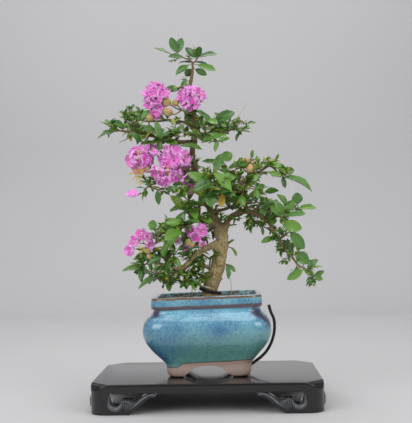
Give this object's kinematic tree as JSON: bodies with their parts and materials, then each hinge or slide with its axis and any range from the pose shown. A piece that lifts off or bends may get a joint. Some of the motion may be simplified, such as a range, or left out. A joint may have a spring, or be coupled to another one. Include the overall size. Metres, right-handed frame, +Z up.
{
  "type": "crepe myrtle bonsai",
  "caption": "Crepe myrtle bonsai in flower: a curved trunk with leafy sprays and crinkled pink blooms, in a blue-green glazed pot with feet, on a low black lacquered stand.",
  "frame": {"origin": "on the floor, under the middle of the display stand", "axes": "+X to the right along the stand's long side, +Y to the back, +Z up"},
  "size_m": [0.2577, 0.16, 0.4201],
  "materials": {
    "black_lacquer": "glossy black lacquer",
    "blue_green_glaze": "glossy mottled glaze",
    "bonsai_soil": "rough coarse grit",
    "net_plastic": "matte",
    "black_wire": "matte coated wire",
    "crepe_myrtle_bark": "smooth mottled bark",
    "crepe_myrtle_leaf": "satin leaf",
    "crepe_myrtle_petal": "soft crinkled petal"
  },
  "bodies": {
    "root": {"bloom_1": "crepe_myrtle_petal", "bloom_2": "crepe_myrtle_petal", "bloom_3": "crepe_myrtle_petal", "bloom_4": "crepe_myrtle_petal", "bloom_5": "crepe_myrtle_petal", "bloom_6": "crepe_myrtle_petal", "bud_cluster": "crepe_myrtle_petal", "drain_net_left": "net_plastic", "drain_net_right": "net_plastic", "pot": "blue_green_glaze", "soil": "bonsai_soil", "spray_back_crown": "crepe_myrtle_leaf", "spray_back_left": "crepe_myrtle_leaf", "spray_back_low": "crepe_myrtle_leaf", "spray_back_right": "crepe_myrtle_leaf", "spray_bud_spray": "crepe_myrtle_leaf", "spray_cascade_back": "crepe_myrtle_leaf", "spray_cascade_hang": "crepe_myrtle_leaf", "spray_cascade_low": "crepe_myrtle_leaf", "spray_cascade_mid": "crepe_myrtle_leaf", "spray_cascade_shoulder": "crepe_myrtle_leaf", "spray_cascade_start": "crepe_myrtle_leaf", "spray_cascade_tip": "crepe_myrtle_leaf", "spray_face_big": "crepe_myrtle_leaf", "spray_face_left_low": "crepe_myrtle_leaf", "spray_face_left_stalk": "crepe_myrtle_leaf", "spray_face_left_top": "crepe_myrtle_leaf", "spray_left_mid": "crepe_myrtle_leaf", "spray_low_big_left": "crepe_myrtle_leaf", "spray_low_inner": "crepe_myrtle_leaf", "spray_low_left_bloom": "crepe_myrtle_leaf", "spray_low_left_foot": "crepe_myrtle_leaf", "spray_low_left_front": "crepe_myrtle_leaf", "spray_low_left_rise": "crepe_myrtle_leaf", "spray_low_left_tip": "crepe_myrtle_leaf", "spray_mid_back_end": "crepe_myrtle_leaf", "spray_mid_low_front": "crepe_myrtle_leaf", "spray_mid_right_end": "crepe_myrtle_leaf", "spray_mid_right_low": "crepe_myrtle_leaf", "spray_mid_rise": "crepe_myrtle_leaf", "spray_neck": "crepe_myrtle_leaf", "spray_shoulder": "crepe_myrtle_leaf", "spray_sprout_high": "crepe_myrtle_leaf", "spray_sprout_low": "crepe_myrtle_leaf", "spray_tier_left_back": "crepe_myrtle_leaf", "spray_tier_left_inner": "crepe_myrtle_leaf", "spray_tier_left_rise": "crepe_myrtle_leaf", "spray_tier_left_tip": "crepe_myrtle_leaf", "spray_tier_left_under": "crepe_myrtle_leaf", "spray_tier_right_back": "crepe_myrtle_leaf", "spray_tier_right_end": "crepe_myrtle_leaf", "spray_tier_right_front": "crepe_myrtle_leaf", "spray_top": "crepe_myrtle_leaf", "stand_leg_back_left": "black_lacquer", "stand_leg_back_right": "black_lacquer", "stand_leg_front_left": "black_lacquer", "stand_leg_front_right": "black_lacquer", "stand_top": "black_lacquer", "tie_wire": "black_wire", "trunk": "crepe_myrtle_bark"}
  },
  "joints": []
}
